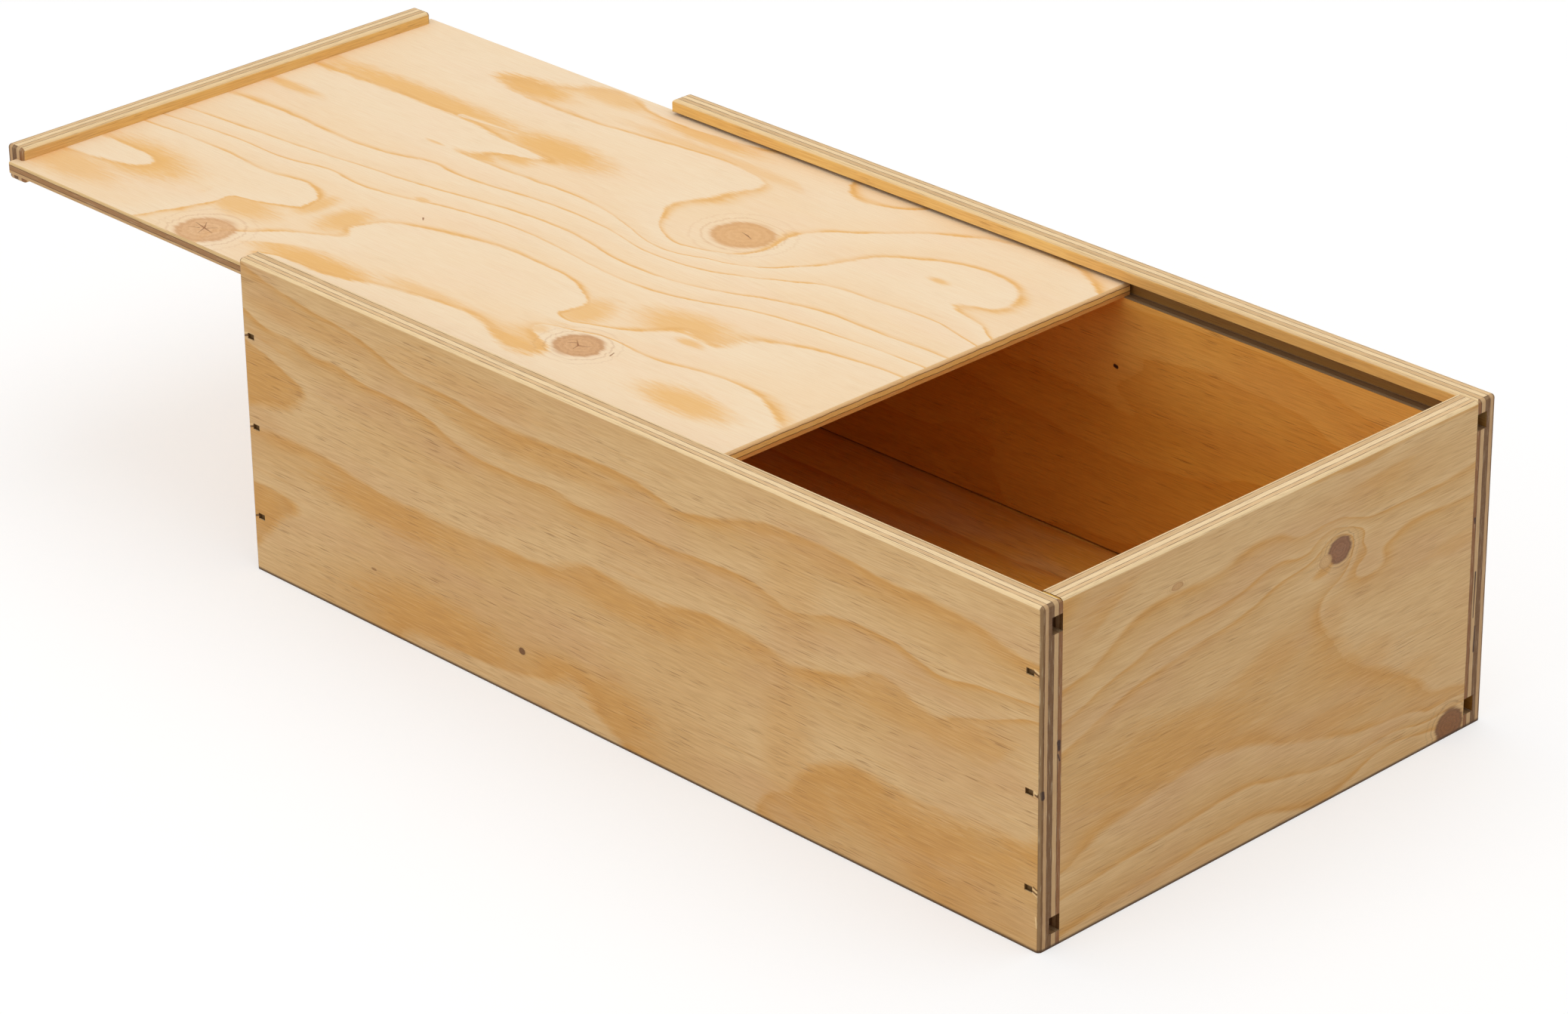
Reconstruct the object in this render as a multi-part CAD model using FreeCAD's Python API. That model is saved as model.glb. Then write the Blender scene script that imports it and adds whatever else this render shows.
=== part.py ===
"""Sliding lid box of plywood, in millimetres, modelled with its lid partly drawn.

X runs along the box, and the lid is drawn towards -X. Y runs across the box, with the near side at -Y.
Z is up. The origin is the centre of the whole footprint, drawn lid included, at the level of the ground.
"""
import FreeCAD, Part
import os

# Box, measured over the outside
box_length = 413.0
box_width = 233.0
box_height = 130.0
panel_thickness = 10.0
arris_radius = 1.6

# Grooves, with the wood left below the lower one and above the upper one
groove_depth = 5.0
lower_lip = 5.4
bottom_groove_play = 0.4
upper_lip = 5.2
lid_groove_play = 1.4

# Bottom panel, loose by the edge gap in the grooves' depth
bottom_thickness = 6.0
bottom_edge_gap = 0.5

# Lid panel, with its running gaps and the distance that it is drawn
lid_thickness = 5.0
lid_opening = 157.5
lid_lift = 0.2
lid_side_gap = 1.4
lid_end_gap = 0.3
lid_ease = 0.6

# Batten across the lid's rear end, and the rear end panel below it
batten_above = 5.0
batten_below = 4.8
batten_end_gap = 0.4
batten_tenon_gap = 1.0
rear_panel_gap = 0.8

# Nails with rectangular heads, sunk in pits with broken-out edges
nail_length = 28.0
nail_wire_width = 1.6
nail_wire_depth = 1.4
nail_point_length = 3.0
nail_head_length = 2.8
nail_head_height = 1.0
nail_sink = 1.2
nail_pit_length = 3.6
nail_pit_height = 2.4

# Nail heights: the lowest above the ground, the highest below the panel's top, the rest as shares between
nail_low = 23.5
nail_drop_front = 25.0
nail_drop_rear = 14.0
nail_shares_front = {"low": 0.0, "middle": 0.45, "top": 1.0}
nail_shares_rear = {"low": 0.0, "middle": 0.5, "top": 1.0}

# Places along X
front = (box_length + lid_opening) / 2
rear = front - box_length
front_inner = front - panel_thickness
rear_inner = rear + panel_thickness
lid_nose = front_inner - lid_end_gap - lid_opening
batten_outer = rear - lid_opening
batten_inner = batten_outer + panel_thickness
batten_groove_floor = batten_inner - groove_depth
lid_tail = batten_groove_floor + batten_tenon_gap

# Places along Y, from the middle of the box to its far side
outer = box_width / 2
inner = outer - panel_thickness
groove_floor = inner + groove_depth
lid_edge = groove_floor - lid_side_gap
batten_end = inner - batten_end_gap

# Places along Z
bottom_top = lower_lip + bottom_thickness
bottom_groove_top = bottom_top + bottom_groove_play
lid_groove_top = box_height - upper_lip
lid_groove_bottom = lid_groove_top - lid_thickness - lid_groove_play
lid_bottom = lid_groove_bottom + lid_lift
lid_top = lid_bottom + lid_thickness
batten_bottom = lid_bottom - batten_below
batten_top = lid_top + batten_above
rear_top = batten_bottom - rear_panel_gap

# How far a cutter reaches past a face
overrun = 1.0


def block(low, high):
    """A block between two corners."""
    size = FreeCAD.Vector(*high) - FreeCAD.Vector(*low)
    return Part.makeBox(size.x, size.y, size.z, FreeCAD.Vector(*low))


def edges_on(shape, *planes):
    """The edges that lie in all the given planes, each an axis name and a place."""
    def lies_in(edge, axis, place):
        return all(abs(getattr(vertex.Point, axis) - place) < 1e-6 for vertex in edge.Vertexes)
    return [edge for edge in shape.Edges if all(lies_in(edge, *plane) for plane in planes)]


def mirrored(shape):
    """The same shape on the other side of the box."""
    return shape.mirror(FreeCAD.Vector(0, 0, 0), FreeCAD.Vector(0, 1, 0))


def nail(x, z):
    """A nail through the near side panel: its T shape seen from above, made as deep as the wire."""
    face = -outer
    head = face + nail_sink
    neck = head + nail_head_height
    tip = head + nail_length
    half_head = nail_head_length / 2
    half_wire = nail_wire_width / 2
    outline = [
        (-half_head, head),
        (half_head, head),
        (half_head, neck),
        (half_wire, neck),
        (half_wire, tip - nail_point_length),
        (0, tip),
        (-half_wire, tip - nail_point_length),
        (-half_wire, neck),
        (-half_head, neck),
    ]
    points = [FreeCAD.Vector(x + dx, y, z - nail_wire_depth / 2) for dx, y in outline]
    flat = Part.Face(Part.makePolygon(points + points[:1]))
    return flat.extrude(FreeCAD.Vector(0, 0, nail_wire_depth))


def nail_pit(x, z):
    """The pit that the sunk head leaves in the near side panel's face."""
    return block(
        (x - nail_pit_length / 2, -outer - overrun, z - nail_pit_height / 2),
        (x + nail_pit_length / 2, -outer + nail_sink, z + nail_pit_height / 2),
    )


def nail_places():
    """Where the near side's nails go: each name with its X and Z, on the end panels' middle lines."""
    rows = {
        "front": (front - panel_thickness / 2, box_height - nail_drop_front, nail_shares_front),
        "rear": (rear + panel_thickness / 2, rear_top - nail_drop_rear, nail_shares_rear),
    }
    places = {}
    for row, (x, highest, shares) in rows.items():
        for level, share in shares.items():
            places[row, level] = (x, nail_low + share * (highest - nail_low))
    return places


def side_panel(places):
    """Near side panel: full length, arrises rounded, grooved for the bottom and the lid."""
    panel = block((rear, -outer, 0), (front, -inner, box_height))
    top = ("z", box_height)
    face = ("y", -outer)
    pairs = [
        (top, face),
        (top, ("y", -inner)),
        (top, ("x", front)),
        (top, ("x", rear)),
        (face, ("x", front)),
        (face, ("x", rear)),
    ]
    arrises = [edge for pair in pairs for edge in edges_on(panel, *pair)]
    panel = panel.makeFillet(arris_radius, arrises)
    for low, high in ((lower_lip, bottom_groove_top), (lid_groove_bottom, lid_groove_top)):
        groove = block((rear - overrun, -groove_floor, low), (front + overrun, -inner + overrun, high))
        panel = panel.cut(groove)
    for x, z in places:
        panel = panel.cut(nail_pit(x, z)).cut(nail(x, z))
    return panel


def end_panel(face, inside, top, places):
    """End panel between the side panels, from its outer face to its inside face, grooved for the bottom."""
    panel = block((min(face, inside), -inner, 0), (max(face, inside), inner, top))
    arrises = edges_on(panel, ("z", top), ("x", face)) + edges_on(panel, ("z", top), ("x", inside))
    panel = panel.makeFillet(arris_radius, arrises)
    inward = 1 if inside > face else -1
    groove_end = inside - inward * groove_depth
    past_inside = inside + inward * overrun
    groove = block(
        (min(groove_end, past_inside), -inner - overrun, lower_lip),
        (max(groove_end, past_inside), inner + overrun, bottom_groove_top),
    )
    panel = panel.cut(groove)
    for x, z in places:
        near = nail(x, z)
        panel = panel.cut(near).cut(mirrored(near))
    return panel


def bottom_panel():
    """Bottom panel, resting on the grooves' lower faces all round."""
    reach = groove_depth - bottom_edge_gap
    return block(
        (rear_inner - reach, -inner - reach, lower_lip),
        (front_inner + reach, inner + reach, bottom_top),
    )


def lid_panel():
    """Lid panel, its leading edge rounded on top and its long edges eased to slide."""
    panel = block((lid_tail, -lid_edge, lid_bottom), (lid_nose, lid_edge, lid_top))
    panel = panel.makeFillet(arris_radius, edges_on(panel, ("x", lid_nose), ("z", lid_top)))
    long_edges = [edge for edge in panel.Edges if edge.Length > (lid_nose - lid_tail) / 2
                  and abs(abs(edge.CenterOfMass.y) - lid_edge) < 1e-6]
    return panel.makeFillet(lid_ease, long_edges)


def lid_batten():
    """Batten of the side stock, rounded all over, grooved to take the lid panel's tail."""
    batten = block((batten_outer, -batten_end, batten_bottom), (batten_inner, batten_end, batten_top))
    batten = batten.makeFillet(arris_radius, batten.Edges)
    groove = block(
        (batten_groove_floor, -batten_end - overrun, lid_bottom),
        (batten_inner + overrun, batten_end + overrun, lid_top),
    )
    return batten.cut(groove)


def build():
    """Every piece under its own name."""
    places = nail_places()
    in_front = [place for (row, level), place in places.items() if row == "front"]
    in_rear = [place for (row, level), place in places.items() if row == "rear"]
    near = side_panel(places.values())
    pieces = {
        "near_side_panel": near,
        "far_side_panel": mirrored(near),
        "front_end_panel": end_panel(front, front_inner, box_height, in_front),
        "rear_end_panel": end_panel(rear, rear_inner, rear_top, in_rear),
        "bottom_panel": bottom_panel(),
        "lid_panel": lid_panel(),
        "lid_batten": lid_batten(),
    }
    for (row, level), place in places.items():
        near_nail = nail(*place)
        pieces[f"nail_{row}_near_{level}"] = near_nail
        pieces[f"nail_{row}_far_{level}"] = mirrored(near_nail)
    return pieces


os.makedirs("parts", exist_ok=True)
for name, shape in build().items():
    solid = shape.Solids[0]
    if len(shape.Solids) != 1 or not solid.isValid():
        raise ValueError(f"{name} isn't one valid solid")
    solid.exportStep(f"parts/{name}.step")
    print(f"{name}: {solid.Volume / 1000:.2f} cm3")
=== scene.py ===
import math
import random

import bmesh
import bpy
import numpy as np
from mathutils import Matrix, Vector


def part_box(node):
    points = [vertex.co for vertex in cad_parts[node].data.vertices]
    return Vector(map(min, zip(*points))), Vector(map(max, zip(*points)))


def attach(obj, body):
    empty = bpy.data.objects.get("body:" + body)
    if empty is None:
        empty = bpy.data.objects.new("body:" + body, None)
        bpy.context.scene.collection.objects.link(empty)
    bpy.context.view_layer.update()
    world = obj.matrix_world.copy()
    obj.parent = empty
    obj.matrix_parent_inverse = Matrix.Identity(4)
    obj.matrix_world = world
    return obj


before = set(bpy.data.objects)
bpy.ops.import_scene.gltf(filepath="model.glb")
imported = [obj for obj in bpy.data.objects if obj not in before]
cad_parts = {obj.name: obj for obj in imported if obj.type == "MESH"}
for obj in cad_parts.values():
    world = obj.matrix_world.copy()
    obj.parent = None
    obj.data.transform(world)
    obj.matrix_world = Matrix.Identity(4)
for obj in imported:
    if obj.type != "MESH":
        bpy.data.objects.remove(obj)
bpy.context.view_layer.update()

scene = bpy.context.scene

# Camera, in metres and degrees, solved for the 2077 by 1343 picture
camera_place = (1.33594, -1.24449, 0.91807)
camera_azimuth = 46.0656
camera_elevation = 25.9807
camera_roll = -0.7581
camera_lens = 122.387
camera_sensor = 36.0

# Light: the even sky, the soft key lamp above, and the soft fill lamp that faces the long near side
sky_strength = 0.65
key_place = (0.1, 0.3, 1.7)
key_watts = 8.0
fill_place = (-0.3, -2.2, 0.9)
fill_watts = 8.0
lamp_size = 1.6

# Floor: its tone for bounced light, its tone for the camera, and the light added so that it reads white
floor_reach = 6.0
floor_tone = 0.8
floor_seen_tone = 0.56
floor_lift = 0.52
floor_roughness = 0.95
floor_gloss = 0.1

# The looks and the glue beads are written in millimetres, and Blender's lengths are metres
metre = 1000.0


def reach_of(node, axis):
    """Lowest and highest place of a CAD node along an axis, in millimetres."""
    low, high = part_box(node)
    return low[axis] * metre, high[axis] * metre


# Places of the CAD part that the looks follow
rear, front = reach_of("near_side_panel", 0)
front_inner = reach_of("front_end_panel", 0)[0]
panel_thickness = front - front_inner
outer = reach_of("far_side_panel", 1)[1]
inner = outer - panel_thickness
box_height = reach_of("near_side_panel", 2)[1]
lid_bottom, lid_top = reach_of("lid_panel", 2)
bottom_low, bottom_top = reach_of("bottom_panel", 2)
batten_outer = reach_of("lid_batten", 0)[0]

# Grooves: the panel's heights with its play and 0.1 mm to spare, and the depth where the painted shade
# begins
bottom_groove = (bottom_low - 0.1, bottom_top + 0.5)
lid_groove = (lid_bottom - 0.3, lid_top + 1.3)
groove_start = 4.7

# Nail pits in the side panels' outer faces: their middles, and the half sizes of the painted shade in
# them
near_nails = [f"nail_{row}_near_{level}"
              for row in ("front", "rear") for level in ("low", "middle", "top")]
pit_places = [(sum(reach_of(nail, 0)) / 2, sum(reach_of(nail, 2)) / 2) for nail in near_nails]
pit_reach = (1.8, 1.25)

# Glue squeezed out at the front corners, each bead a row of rings that vary in size and taper to tips
bead_radius = 0.4
bead_width = 1.1
bead_margin = 0.65
bead_rings = 14
bead_sides = 8
bead_place = (inner + 0.05, box_height - 0.7)
bead_swell = (0.8, 1.1)
bead_taper = 0.3
bead_tip = 0.02
bead_seed = 7

# Growth rings: power of the smooth surface through the courses, and the spacing of the plain ones
ring_power = 2.5
plain_spacing = 26.0
sway_reach = 5.0

# Plies: glue lines by depth below the outer face, and where in the panel its inner side begins
side_joints = (1.5, 3.4, 5.8, 8.1)
lid_joints = (1.3, 3.4)
glue_half = 0.16
glue_line_span = (1.5 * glue_half, 0.5 * glue_half)
glue_strength = 0.85
inside_share = 0.45

# Each noise of the wood: its lumps along and across the grain, its detail and its place among the seeds
noises = {
    "broad": (70.0, 24.0, 2.0, 0),
    "sway": (26.0, 7.0, 2.0, 0),
    "fine": (14.0, 0.5, 3.0, 1),
    "streak": (50.0, 1.8, 2.0, 2),
    "jag": (9.0, 1.1, 3.0, 3),
    "pore": (13.0, 0.45, 1.0, 4),
    "crowd": (45.0, 10.0, 1.0, 5),
    "fade": (38.0, 13.0, 2.0, 6),
    "wander": (34.0, 9.0, 3.0, 7),
    "fibre": (9.0, 0.32, 3.0, 8),
    "glue": (7.0, 3.0, 3.0, 9),
    "check": (42.0, 0.2, 2.0, 10),
    "wave": (170.0, 60.0, 2.0, 11),
}
noise_roughness = 0.55

# Veneers: where each trait sets in, as the values from and to and what it then goes from and to
early_span = (0.0, 0.85)
late_span = (0.42, 0.5)
line_span = (0.95, 0.985)
fade_span = (0.35, 0.6)
blush_span = (0.45, 0.7)
streak_span = (0.5, 0.75)
fine_dark_span = (0.62, 0.3)
fine_light_span = (0.55, 0.75)
pore_span = (0.6, 0.7)
crowd_span = (0.4, 0.62)
patch_span = (1.25, 0.35)

# Veneers: power of the amber's rise, its share inside the box, ragged patches, pores and soft marks
glow_power = 1.6
inner_fade = 0.25
patch_rag = 0.9
pore_depth = 0.8
mark_softness = 0.25
inner_mark_softness = 0.3
tongue_softness = 0.5

# Edges, ends, pits, grooves and the foot of the box, with the painted edge highlight and the painted
# shade in pits, grooves and at the foot: where each trait sets in
end_span = (0.12, 0.3)
skin_span = (0.88, 0.97)
edge_highlight_span = (0.985, 0.8, 0.0, 0.14)
fibre_dark_span = (0.55, 0.75, 0.0, 0.4)
fibre_light_span = (0.45, 0.28, 0.0, 0.4)
glue_span = (0.3, 0.6)
check_span = (0.56, 0.66, 0.0, 0.5)
void_softness = 0.3
pit_edge_span = (1.2, 1.0)
pit_top_span = (0.1, 0.7)
pit_floor_span = (3.0, 2.0)
groove_shade_strength = 0.7
contact_shade_span = (1.5, 0.45, 0.0, 0.9)

# Knots: the faint rings round one, then its outline and its mottled body, in shares of its half size
halo_rate = 2.6
halo_line_span = (0.3, 0.5)
halo_reach_span = (2.2, 1.2)
halo_strength = 0.28
knot_fuzz = 0.45
knot_noise_scale = 4.0
knot_noise_detail = 5.0
knot_noise_roughness = 0.7
knot_ring_rate = 22.0
knot_ring_sway = 14.0
knot_ring_span = (-1.0, 1.0, 0.0, 0.3)
knot_rim_span = (0.55, 1.0, 0.0, 0.35)
knot_dark_span = (0.48, 0.75, 0.0, 0.7)
knot_light_span = (0.42, 0.25, 0.0, 0.3)
knot_outline_span = (1.2, 0.88, 0.0, 0.92)

# Finish: roughness by the height of the fine grain, gloss, and the strength and metres of the bump
wood_rough_span = (0.2, 0.8, 0.62, 0.48)
wood_gloss = 0.3
wood_bump = (0.35, 0.00025)


def srgb(red, green, blue):
    """A colour read off as 0 to 255, made linear."""
    def line(level):
        share = level / 255
        return share / 12.92 if share < 0.04045 else ((share + 0.055) / 1.055) ** 2.4
    return (line(red), line(green), line(blue), 1.0)


# Tones of each ply, from the outer face inwards, on end grain and on long edges
end_tones = (srgb(124, 88, 50), srgb(194, 154, 108), srgb(118, 82, 46), srgb(202, 164, 116),
             srgb(140, 92, 50))
edge_tones = (srgb(248, 217, 166), srgb(232, 194, 142), srgb(248, 217, 168), srgb(222, 184, 132),
              srgb(244, 212, 160))
lid_end_tones = (srgb(236, 190, 128), srgb(250, 202, 118), srgb(221, 159, 84))
lid_edge_tones = (srgb(230, 192, 132), srgb(168, 122, 76), srgb(206, 164, 112))
side_tones = (end_tones, edge_tones)
lid_tones = (lid_end_tones, lid_edge_tones)

# Tones of what crosses the plies and the veneers
glue_tone = srgb(88, 52, 22)
fibre_dark_tone = srgb(120, 82, 50)
fibre_light_tone = srgb(246, 222, 178)
check_tone = srgb(150, 108, 66)
# Painted shade of open voids and holes
void_shade_tone = srgb(58, 30, 14)
# Torn wood, darkened with painted shade in the torn slots
torn_wood_and_shade_tone = srgb(104, 70, 32)
fibre_tone = srgb(240, 204, 148)
crack_tone = srgb(150, 94, 46)
# Painted shade along the seam where the bottom meets the wall
seam_shade_tone = srgb(140, 84, 34)
# Painted shade in the nail pits
pit_shade_tone = srgb(110, 80, 42)
# Painted shade at the foot of the walls, where they meet the floor
contact_shade_tone = srgb(66, 40, 18)
# Painted shade in the grooves and on the ends inside the joints
groove_shade_tone = srgb(88, 50, 20)
knot_light_tone = srgb(236, 190, 138)

# The deeper colour of the veneers inside, with painted shade that darkens them lower down: above the
# lid's groove, below it, and low on the walls
lip_tint_and_shade = (1.27, 1.28, 0.98, 1.0)
high_tint_and_shade = (1.22, 1.0, 0.47, 1.0)
low_tint_and_shade = (1.08, 0.81, 0.25, 1.0)
lip_heights = (119.0, 124.0)
low_heights = (110.0, 60.0)


class Graph:
    """Writes a node tree as sums."""

    def __init__(self, tree):
        self.tree = tree

    def add(self, kind, values, out=0, **settings):
        """A node with its inputs by index or name, giving one of its outputs."""
        node = self.tree.nodes.new("ShaderNode" + kind)
        for key, value in settings.items():
            setattr(node, key, value)
        for key, value in values.items():
            self.put(node.inputs[key], value)
        return node.outputs[out]

    def put(self, socket, value):
        """Links a socket to the value, or sets it."""
        if isinstance(value, bpy.types.NodeSocket):
            self.tree.links.new(value, socket)
        else:
            socket.default_value = value

    def math(self, operation, *values):
        return self.add("Math", dict(enumerate(values)), operation=operation)

    def vector(self, operation, *values, out=0):
        return self.add("VectorMath", dict(enumerate(values)), out, operation=operation)

    def length(self, vector):
        return self.vector("LENGTH", vector, out=1)

    def scaled(self, vector, factor):
        return self.add("VectorMath", {0: vector, "Scale": factor}, operation="SCALE")

    def join(self, x, y, z=0.0):
        return self.add("CombineXYZ", {0: x, 1: y, 2: z})

    def split(self, vector):
        """The three parts of a vector."""
        return self.add("SeparateXYZ", {0: vector}).node.outputs

    def rise(self, value, low, high, start=0.0, end=1.0):
        """A smooth step from start to end as value goes from low to high."""
        values = {"Value": value, "From Min": low, "From Max": high, "To Min": start, "To Max": end}
        return self.add("MapRange", values, interpolation_type="SMOOTHSTEP")

    def mix(self, share, low, high, how="MIX"):
        return self.add("Mix", {0: share, 6: low, 7: high}, 2, data_type="RGBA", blend_type=how)

    def lumps(self, place, scale, detail, roughness):
        """A noise from 0 to 1."""
        values = {"Vector": place, "Scale": scale, "Detail": detail, "Roughness": roughness}
        return self.add("TexNoise", values)

    def noise(self, u, v, kind, seed):
        """One of the wood's noises, in the panel's own directions."""
        along, across, detail, turn = noises[kind]
        flat_u = self.math("DIVIDE", u, along)
        flat_v = self.math("DIVIDE", v, across)
        place = self.join(flat_u, flat_v, seed + turn)
        return self.lumps(place, 1.0, detail, noise_roughness)

    def swing(self, noise):
        """A noise made to go from -0.5 to 0.5."""
        return self.math("SUBTRACT", noise, 0.5)

    def off(self, value, centre, half):
        """How far a value lies from a centre, in half sizes."""
        return self.math("DIVIDE", self.math("SUBTRACT", value, centre), half)

    def bands(self, value, stops):
        """A colour band over value, from stops of place and colour."""
        colour = self.add("ValToRGB", {0: value})
        ramp = colour.node.color_ramp
        while len(ramp.elements) < len(stops):
            ramp.elements.new(0.5)
        for element, (place, tone) in zip(ramp.elements, stops):
            element.position = place
            element.color = tone
        return colour


class Finish(Graph):
    """A new material, written as sums into its shader."""

    def __init__(self, name):
        self.material = bpy.data.materials.new(name)
        self.material.use_nodes = True
        super().__init__(self.material.node_tree)
        self.shader = self.tree.nodes["Principled BSDF"]

    def object_place(self):
        return self.add("TexCoord", {}, "Object")

    def cover(self, colour, roughness, height, strength, distance):
        """Puts the colour, the roughness and a bump into the shader."""
        bump = self.add("Bump", {"Strength": strength, "Distance": distance, "Height": height})
        self.put(self.shader.inputs["Base Color"], colour)
        self.put(self.shader.inputs["Roughness"], roughness)
        self.put(self.shader.inputs["Normal"], bump)


class PanelPoint:
    """A point in a panel's own directions, in millimetres, and how squarely its surface faces each."""

    def __init__(self, graph, along, across, face):
        axis, start, sign = face
        parts = graph.split(graph.scaled(graph.object_place(), metre))
        facing = graph.split(graph.add("TexCoord", {}, "Normal"))
        self.u = parts[along]
        self.v = parts[across]
        self.height = parts[2]
        self.depth = graph.math("MULTIPLY", graph.math("SUBTRACT", parts[axis], start), sign)
        self.to_end = graph.math("ABSOLUTE", facing[along])
        self.to_edge = graph.math("ABSOLUTE", facing[across])
        self.to_face = graph.math("ABSOLUTE", facing[axis])


def ring_weights(courses, stretch):
    """Points, and the weights that make a smooth surface take each point's ring level."""
    points = []
    levels = []
    for level, course in courses.items():
        for u, v in course:
            points.append((u / stretch[0], v / stretch[1]))
            levels.append(level)
    points = np.array(points)
    count = len(points)
    system = np.zeros((count + 3, count + 3))
    gaps = np.linalg.norm(points[:, None] - points[None], axis=2)
    system[:count, :count] = gaps ** ring_power
    system[:count, count] = 1
    system[:count, count + 1:] = points
    system[count:, :count] = system[:count, count:].T
    weights = np.linalg.solve(system, np.concatenate([levels, np.zeros(3)]))
    return points, weights


def ring_level(graph, u, v, courses, stretch):
    """The growth ring's level at a place on a veneer that the photograph shows."""
    points, weights = ring_weights(courses, stretch)
    flat_u = graph.math("DIVIDE", u, stretch[0])
    flat_v = graph.math("DIVIDE", v, stretch[1])
    place = graph.join(flat_u, flat_v)
    total = graph.math("MULTIPLY_ADD", flat_u, float(weights[-2]), float(weights[-3]))
    total = graph.math("MULTIPLY_ADD", flat_v, float(weights[-1]), total)
    for point, weight in zip(points, weights):
        reach = graph.vector("DISTANCE", place, (float(point[0]), float(point[1]), 0.0), out=1)
        total = graph.math("MULTIPLY_ADD", graph.math("POWER", reach, ring_power), float(weight), total)
    return total


def plain_level(graph, u, v, look):
    """Ring level of a veneer that the photograph doesn't show: long waves across an even spacing."""
    wave = graph.noise(u, v, "wave", look["seed"])
    return graph.math("MULTIPLY_ADD", wave, look["swing"], graph.math("DIVIDE", v, plain_spacing))


def veneer_level(graph, at, inside, look):
    """Ring level on the outer face and, where it differs, on the inner one."""
    drift = graph.swing(graph.noise(at.u, at.v, "sway", look["seed"]))
    drift = graph.math("MULTIPLY", drift, sway_reach)
    wavy_v = graph.math("ADD", at.v, graph.math("MULTIPLY", drift, look["sway"]))
    plain = plain_level(graph, at.u, wavy_v, look)
    if "rings" not in look:
        return plain
    shown = ring_level(graph, at.u, wavy_v, look["rings"], look["stretch"])
    change = graph.math("MULTIPLY", inside, graph.math("SUBTRACT", plain, shown))
    return graph.math("ADD", shown, change)


def soft_patches(graph, at, patches, ragged):
    """Soft patches, each a middle, two half sizes and a strength."""
    total = 0.0
    for centre_u, centre_v, half_u, half_v, strength in patches:
        off_u = graph.off(at.u, centre_u, half_u)
        off_v = graph.off(at.v, centre_v, half_v)
        reach = graph.math("ADD", graph.length(graph.join(off_u, off_v)), ragged)
        total = graph.math("MAXIMUM", total, graph.rise(reach, *patch_span, 0.0, strength))
    return total


def strokes(graph, u, v, rows, soft):
    """Tapered strokes, each from one point to another with its two half widths."""
    place = graph.join(u, v)
    total = 0.0
    for start_u, start_v, end_u, end_v, start_half, end_half in rows:
        run = (end_u - start_u, end_v - start_v, 0.0)
        length = math.hypot(*run)
        from_start = graph.vector("SUBTRACT", place, (start_u, start_v, 0.0))
        slope = tuple(part / length ** 2 for part in run)
        along = graph.vector("DOT_PRODUCT", from_start, slope, out=1)
        along = graph.math("MINIMUM", graph.math("MAXIMUM", along, 0.0), 1.0)
        reach = graph.length(graph.vector("SUBTRACT", from_start, graph.scaled(run, along)))
        half = graph.math("MULTIPLY_ADD", along, end_half - start_half, start_half)
        past = graph.math("SUBTRACT", reach, half)
        total = graph.math("MAXIMUM", total, graph.rise(past, soft, -soft))
    return total


def knot(graph, wood, at, spec, streak):
    """Paints one knot over the wood: faint rings round it, and a mottled body with rings of its own."""
    centre_u, centre_v, half_u, half_v, tone, rim, seed = spec
    place = graph.join(graph.off(at.u, centre_u, half_u), graph.off(at.v, centre_v, half_v))
    reach = graph.math("MULTIPLY_ADD", graph.swing(streak), knot_fuzz, graph.length(place))
    halo = graph.math("PINGPONG", graph.math("MULTIPLY", reach, halo_rate), 0.5)
    halo = graph.rise(halo, *halo_line_span)
    halo = graph.math("MULTIPLY", halo, graph.rise(reach, *halo_reach_span))
    wood = graph.mix(graph.math("MULTIPLY", halo, halo_strength), wood, rim)
    mottle = graph.lumps(place, knot_noise_scale + seed, knot_noise_detail, knot_noise_roughness)
    sway = graph.math("MULTIPLY", mottle, knot_ring_sway)
    turn = graph.math("MULTIPLY_ADD", reach, knot_ring_rate, sway)
    body = graph.mix(graph.rise(graph.math("SINE", turn), *knot_ring_span), tone, rim)
    body = graph.mix(graph.rise(reach, *knot_rim_span), body, rim)
    body = graph.mix(graph.rise(mottle, *knot_dark_span), body, rim)
    body = graph.mix(graph.rise(mottle, *knot_light_span), body, knot_light_tone)
    return graph.mix(graph.rise(reach, *knot_outline_span), wood, body)


def late_wood(graph, at, share, inside, ragged, look):
    """How amber the wood is and how strong the thin line is, by the share of the way through a ring."""
    fade = graph.rise(graph.noise(at.u, at.v, "fade", look["seed"]), *fade_span, look["fade"], 1.0)
    fade = graph.math("MULTIPLY", fade, graph.math("MULTIPLY_ADD", inside, inner_fade - 1.0, 1.0))
    before = graph.math("POWER", graph.rise(share, look["glow_start"], 1.0), glow_power)
    after = graph.rise(share, look["soft"], 0.0)
    glow = graph.math("MULTIPLY", graph.math("MAXIMUM", before, after), fade)
    late = graph.math("MAXIMUM", graph.rise(share, *late_span), after)
    stains = soft_patches(graph, at, look.get("stains", ()), ragged)
    glow = graph.math("MAXIMUM", glow, graph.math("MULTIPLY", stains, late))
    tongues = strokes(graph, at.u, at.v, look.get("tongues", ()), tongue_softness)
    glow = graph.math("MULTIPLY", glow, graph.math("SUBTRACT", 1.0, tongues))
    glow = graph.math("MAXIMUM", glow, soft_patches(graph, at, look.get("washes", ()), ragged))
    return glow, graph.math("MULTIPLY", graph.rise(share, *line_span), fade)


def pores(graph, at, ragged, look):
    """1 in each short dark pore, where the pores crowd."""
    dash = graph.rise(graph.noise(at.u, at.v, "pore", look["seed"]), *pore_span)
    crowd = graph.rise(graph.noise(at.u, at.v, "crowd", look["seed"]), *crowd_span)
    crowd = graph.math("MAXIMUM", crowd, soft_patches(graph, at, look.get("pores", ()), ragged))
    return graph.math("MULTIPLY", dash, crowd)


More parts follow.
